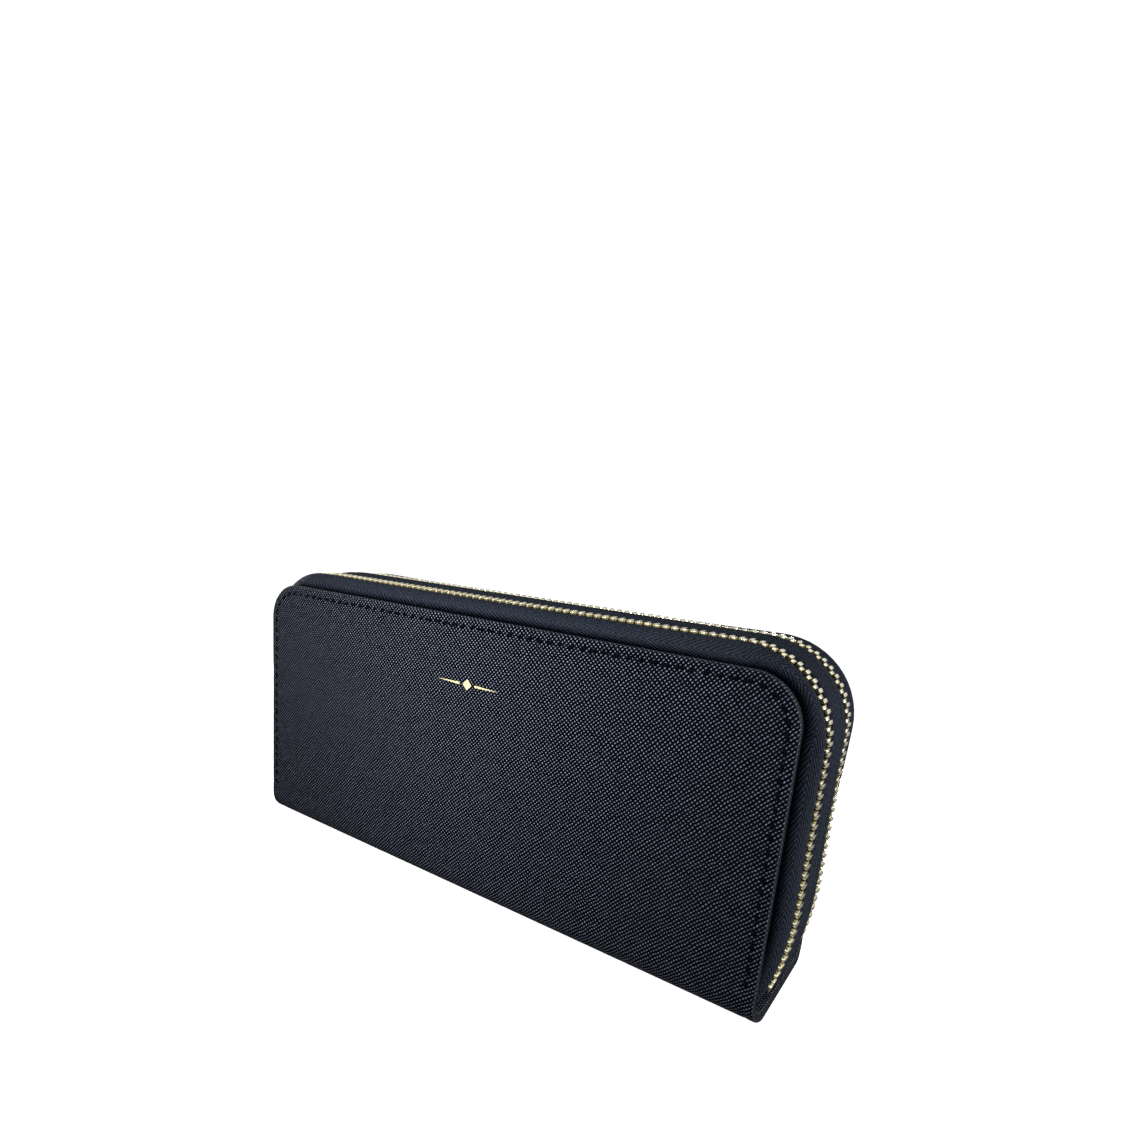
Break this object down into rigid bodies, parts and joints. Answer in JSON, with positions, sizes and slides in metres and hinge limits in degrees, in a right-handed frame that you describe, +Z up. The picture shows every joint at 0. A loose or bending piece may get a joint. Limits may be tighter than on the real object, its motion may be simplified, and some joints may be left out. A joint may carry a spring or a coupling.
{
  "type": "double zip-around wallet",
  "caption": "Long double zip-around wallet with two metal zips, a stiff divider, hinged covers, card and note pockets and a zipped coin pocket, standing on its spine.",
  "frame": {"origin": "on the supporting surface, under the middle of the spine", "axes": "+X along the width with the sliders at the -X end, -Y out of the front cover, +Z up from the spine to the top zips"},
  "size_m": [0.2072, 0.0484, 0.0952],
  "materials": {
    "leatherette": "cross-hatched grain, satin",
    "pocket_leatherette": "smooth, satin",
    "lining": "woven cloth",
    "zip_tape": "herringbone twill",
    "board": "fibre board",
    "zip_metal": "pale gold, polished",
    "thread": "waxed thread",
    "foil": "hot-stamped foil"
  },
  "bodies": {
    "root": {"spine_skin": "leatherette", "front_spine_fold": "leatherette", "rear_spine_fold": "leatherette", "spine_board": "board", "spine_lining": "lining", "divider_board": "board", "divider_front_lining": "lining", "divider_rear_lining": "lining", "front_inner_tape": "zip_tape", "rear_inner_tape": "zip_tape", "front_inner_teeth": "zip_metal", "rear_inner_teeth": "zip_metal", "front_inner_stops": "zip_metal", "rear_inner_stops": "zip_metal", "note_pocket": "pocket_leatherette", "coin_pocket": "lining", "coin_facing": "pocket_leatherette", "coin_upper_tape": "zip_tape", "coin_lower_tape": "zip_tape", "coin_upper_teeth": "zip_metal", "coin_lower_teeth": "zip_metal", "coin_stops": "zip_metal", "front_left_gusset": "lining", "front_right_gusset": "lining", "rear_left_gusset": "lining", "rear_right_gusset": "lining"},
    "front_cover": {"front_skin": "leatherette", "front_board": "board", "front_lining": "lining", "front_card_flaps": "pocket_leatherette", "front_outer_tape": "zip_tape", "front_outer_teeth": "zip_metal", "front_outer_stops": "zip_metal", "front_stitching": "thread", "foil_ornament": "foil"},
    "rear_cover": {"rear_skin": "leatherette", "rear_board": "board", "rear_lining": "lining", "rear_card_flaps": "pocket_leatherette", "rear_outer_tape": "zip_tape", "rear_outer_teeth": "zip_metal", "rear_outer_stops": "zip_metal", "rear_stitching": "thread"},
    "front_slider": {"front_slider": "zip_metal"},
    "front_pull": {"front_pull": "zip_metal"},
    "rear_slider": {"rear_slider": "zip_metal"},
    "rear_pull": {"rear_pull": "zip_metal"},
    "coin_slider": {"coin_slider": "zip_metal"},
    "coin_pull": {"coin_pull": "zip_metal"}
  },
  "joints": [
    {"name": "front_cover_hinge", "type": "hinge", "parent": "root", "child": "front_cover", "pos_m": [0, -0.0215, 0.0025], "axis": [1, 0, 0], "range_deg": [0, 40], "deforming": ["front_spine_fold"]},
    {"name": "rear_cover_hinge", "type": "hinge", "parent": "root", "child": "rear_cover", "pos_m": [0, 0.0215, 0.0025], "axis": [-1, 0, 0], "range_deg": [0, 40], "deforming": ["rear_spine_fold"]},
    {"name": "front_slider_travel", "type": "slide", "parent": "root", "child": "front_slider", "axis": [0, 0, 1], "range_m": [0, 0.042]},
    {"name": "front_pull_hinge", "type": "hinge", "parent": "front_slider", "child": "front_pull", "pos_m": [-0.1039, -0.01, 0.024], "axis": [0, 1, 0], "range_deg": [0, 170]},
    {"name": "rear_slider_travel", "type": "slide", "parent": "root", "child": "rear_slider", "axis": [0, 0, 1], "range_m": [0, 0.042]},
    {"name": "rear_pull_hinge", "type": "hinge", "parent": "rear_slider", "child": "rear_pull", "pos_m": [-0.1039, 0.01, 0.024], "axis": [0, 1, 0], "range_deg": [0, 170]},
    {"name": "coin_slider_travel", "type": "slide", "parent": "root", "child": "coin_slider", "axis": [1, 0, 0], "range_m": [0, 0.123]},
    {"name": "coin_pull_hinge", "type": "hinge", "parent": "coin_slider", "child": "coin_pull", "pos_m": [-0.0616, 0.01003, 0.075], "axis": [0, 1, 0], "range_deg": [-30, 30]}
  ]
}
